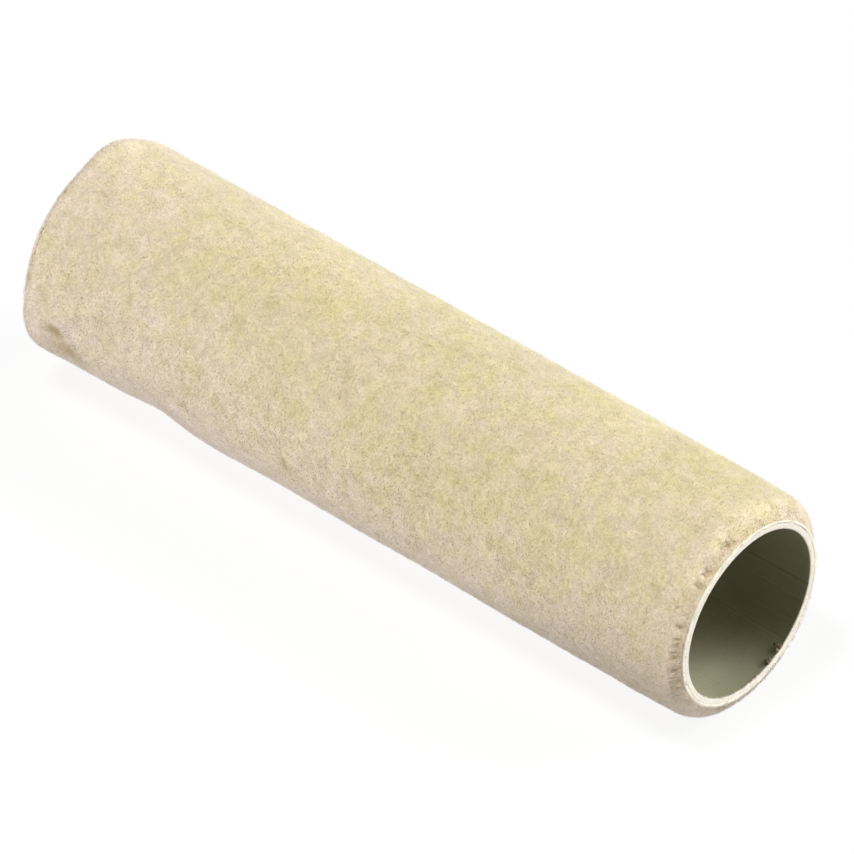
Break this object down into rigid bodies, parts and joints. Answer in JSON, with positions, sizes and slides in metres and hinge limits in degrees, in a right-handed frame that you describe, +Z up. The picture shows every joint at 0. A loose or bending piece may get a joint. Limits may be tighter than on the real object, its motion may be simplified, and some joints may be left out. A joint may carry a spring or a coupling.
{
  "type": "paint roller sleeve",
  "caption": "Paint roller sleeve: a rigid plastic core tube, open at both ends, wrapped in glued pile fabric with rounded ends.",
  "frame": {"origin": "centre of the core's bore, halfway along its length", "axes": "+X along the bore, towards the end that faces the viewer in the usual view; +Z up; the sleeve lies on its side"},
  "size_m": [0.23, 0.0634, 0.0634],
  "materials": {
    "core_plastic": "extruded grey-green plastic, satin bore, sawn ends",
    "adhesive": "set glue, glossy, pale amber",
    "backing": "cut cloth edge, off-white",
    "pile": "short dense cream pile, matte, mottled pale yellow and pinkish white"
  },
  "bodies": {
    "root": {"core_tube": "core_plastic", "adhesive_film": "adhesive", "backing_cloth": "backing", "pile": "pile"}
  },
  "joints": []
}
